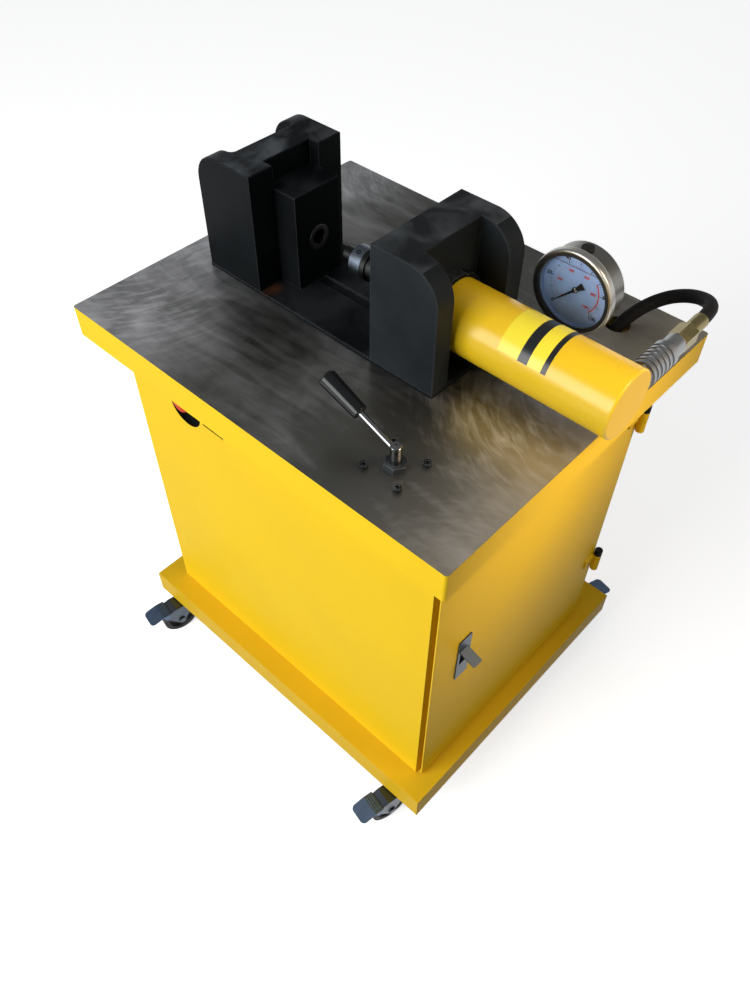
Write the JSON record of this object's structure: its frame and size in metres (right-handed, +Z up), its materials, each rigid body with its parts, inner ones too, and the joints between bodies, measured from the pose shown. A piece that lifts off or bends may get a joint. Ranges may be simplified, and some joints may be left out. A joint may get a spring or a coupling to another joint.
{
  "type": "busbar processing machine",
  "caption": "Wheeled yellow cabinet with a steel work table that carries a horizontal hydraulic punch press: die, ram, cylinder, pressure gauge and lever valve.",
  "frame": {"origin": "on the floor, under the middle of the machine's outline", "axes": "+X along the press axis from the die to the cylinder's end, +Y to the back, +Z up"},
  "size_m": [0.665, 0.6492, 0.881],
  "materials": {
    "yellow_paint": "gloss enamel",
    "table_steel": "ground, lightly oiled",
    "black_oxide": "black oxide, satin",
    "tool_steel": "ground",
    "zinc": "bright zinc plate",
    "chrome": "polished",
    "yellow_zinc": "yellow zinc plate",
    "hose_rubber": "matte",
    "stainless": "polished",
    "brass": "turned",
    "gauge_glass": "clear",
    "dial_white": "white enamel",
    "pointer_black": "black enamel",
    "plug_rubber": "matte",
    "grip_plastic": "gloss",
    "switch_plastic": "matte",
    "stop_red": "gloss",
    "start_green": "gloss",
    "caster_tread": "matte",
    "tank_grey": "satin enamel",
    "motor_grey": "satin enamel",
    "cast_grey": "as cast"
  },
  "bodies": {
    "machine": {"base_tray": "yellow_paint", "front_panel": "yellow_paint", "left_panel": "yellow_paint", "rear_panel": "yellow_paint", "door_header": "yellow_paint", "table_apron": "yellow_paint", "table_plate": "table_steel", "press_bed": "black_oxide", "die_upright": "black_oxide", "cylinder_upright": "black_oxide", "die_block": "black_oxide", "die_bush": "tool_steel", "cylinder_barrel": "yellow_paint", "lock_ring": "black_oxide", "coupler_body": "chrome", "hose_fitting": "yellow_zinc", "hose": "hose_rubber", "hose_tail": "yellow_zinc", "manifold_block": "cast_grey", "gauge_stem": "brass", "gauge_case": "stainless", "gauge_bezel": "stainless", "gauge_glass": "gauge_glass", "gauge_dial": "dial_white", "gauge_plug": "plug_rubber", "valve_body": "cast_grey", "valve_nut": "black_oxide", "valve_screws": "black_oxide", "hinge_pins": "black_oxide", "switch_box": "switch_plastic", "oil_tank": "tank_grey", "tank_lid": "tank_grey", "pump_motor": "motor_grey", "pump_body": "cast_grey", "caster_plates": "zinc"},
    "door": {"door_panel": "yellow_paint", "latch_plate": "zinc"},
    "latch_paddle": {"latch_flap": "zinc"},
    "latch_slide": {"latch_bolt": "zinc"},
    "ram": {"ram_rod": "tool_steel", "ram_collar": "zinc", "punch": "tool_steel"},
    "coupler_release": {"coupler_sleeve": "chrome"},
    "lever": {"valve_lever": "chrome", "lever_grip": "grip_plastic"},
    "needle": {"gauge_pointer": "pointer_black"},
    "stop": {"stop_button": "stop_red"},
    "start": {"start_button": "start_green"},
    "fork_front_left": {"caster_fork_front_left": "zinc"},
    "wheel_front_left": {"caster_wheel_front_left": "caster_tread"},
    "pedal_front_left": {"caster_pedal_front_left": "zinc"},
    "fork_front_right": {"caster_fork_front_right": "zinc"},
    "wheel_front_right": {"caster_wheel_front_right": "caster_tread"},
    "pedal_front_right": {"caster_pedal_front_right": "zinc"},
    "fork_rear_left": {"caster_fork_rear_left": "zinc"},
    "wheel_rear_left": {"caster_wheel_rear_left": "caster_tread"},
    "pedal_rear_left": {"caster_pedal_rear_left": "zinc"},
    "fork_rear_right": {"caster_fork_rear_right": "zinc"},
    "wheel_rear_right": {"caster_wheel_rear_right": "caster_tread"},
    "pedal_rear_right": {"caster_pedal_rear_right": "zinc"}
  },
  "joints": [
    {"name": "ram_slide", "type": "slide", "parent": "machine", "child": "ram", "axis": [-1, 0, 0], "range_m": [0, 0.057], "stiffness_N_per_m": 2000},
    {"name": "coupler_sleeve_slide", "type": "slide", "parent": "machine", "child": "coupler_release", "axis": [0, 1, 0], "range_m": [0, 0.006], "stiffness_N_per_m": 800},
    {"name": "lever_swing", "type": "hinge", "parent": "machine", "child": "lever", "pos_m": [0.1695, -0.1865, 0.714], "axis": [0, 0, 1], "range_deg": [-60, 60]},
    {"name": "gauge_needle", "type": "hinge", "parent": "machine", "child": "needle", "pos_m": [0.1845, 0.1135, 0.798], "axis": [0, 1, 0], "range_deg": [0, 270], "stiffness_Nm_per_rad": 0.01},
    {"name": "door_swing", "type": "hinge", "parent": "machine", "child": "door", "pos_m": [0.2835, 0.1985, 0.4], "axis": [0, 0, 1], "range_deg": [0, 110]},
    {"name": "latch_flap_turn", "type": "hinge", "parent": "door", "child": "latch_paddle", "pos_m": [0.276, -0.1599, 0.4176], "axis": [0, 1, 0], "range_deg": [-15, 70]},
    {"name": "latch_bolt_slide", "type": "slide", "parent": "door", "child": "latch_slide", "axis": [0, -1, 0], "range_m": [-0.0017, 0.0079]},
    {"name": "stop_press", "type": "slide", "parent": "machine", "child": "stop", "axis": [0, 1, 0], "range_m": [0, 0.004], "stiffness_N_per_m": 600},
    {"name": "start_press", "type": "slide", "parent": "machine", "child": "start", "axis": [0, 1, 0], "range_m": [0, 0.004], "stiffness_N_per_m": 600},
    {"name": "swivel_front_left", "type": "hinge", "parent": "machine", "child": "fork_front_left", "pos_m": [-0.2775, -0.228, 0.08], "axis": [0, 0, 1], "continuous": true},
    {"name": "roll_front_left", "type": "hinge", "parent": "fork_front_left", "child": "wheel_front_left", "pos_m": [-0.2854, -0.26517, 0.0325], "axis": [-0.9781, 0.2079, 0], "continuous": true},
    {"name": "brake_front_left", "type": "hinge", "parent": "fork_front_left", "child": "pedal_front_left", "pos_m": [-0.29072, -0.29021, 0.0581], "axis": [0.9781, -0.2079, 0], "range_deg": [0, 15]},
    {"name": "swivel_front_right", "type": "hinge", "parent": "machine", "child": "fork_front_right", "pos_m": [0.2525, -0.228, 0.08], "axis": [0, 0, 1], "continuous": true},
    {"name": "roll_front_right", "type": "hinge", "parent": "fork_front_right", "child": "wheel_front_right", "pos_m": [0.2446, -0.26517, 0.0325], "axis": [-0.9781, 0.2079, 0], "continuous": true},
    {"name": "brake_front_right", "type": "hinge", "parent": "fork_front_right", "child": "pedal_front_right", "pos_m": [0.23928, -0.29021, 0.0581], "axis": [0.9781, -0.2079, 0], "range_deg": [0, 15]},
    {"name": "swivel_rear_left", "type": "hinge", "parent": "machine", "child": "fork_rear_left", "pos_m": [-0.2775, 0.228, 0.08], "axis": [0, 0, 1], "continuous": true},
    {"name": "roll_rear_left", "type": "hinge", "parent": "fork_rear_left", "child": "wheel_rear_left", "pos_m": [-0.2696, 0.26517, 0.0325], "axis": [0.9781, -0.2079, 0], "continuous": true},
    {"name": "brake_rear_left", "type": "hinge", "parent": "fork_rear_left", "child": "pedal_rear_left", "pos_m": [-0.26428, 0.29021, 0.0581], "axis": [-0.9781, 0.2079, 0], "range_deg": [0, 15]},
    {"name": "swivel_rear_right", "type": "hinge", "parent": "machine", "child": "fork_rear_right", "pos_m": [0.2525, 0.228, 0.08], "axis": [0, 0, 1], "continuous": true},
    {"name": "roll_rear_right", "type": "hinge", "parent": "fork_rear_right", "child": "wheel_rear_right", "pos_m": [0.2604, 0.26517, 0.0325], "axis": [0.9781, -0.2079, 0], "continuous": true},
    {"name": "brake_rear_right", "type": "hinge", "parent": "fork_rear_right", "child": "pedal_rear_right", "pos_m": [0.26572, 0.29021, 0.0581], "axis": [-0.9781, 0.2079, 0], "range_deg": [0, 15]}
  ],
  "couplings": [
    {"joint": "latch_flap_turn", "follows": "latch_bolt_slide", "rad_per_m": 153.85}
  ]
}
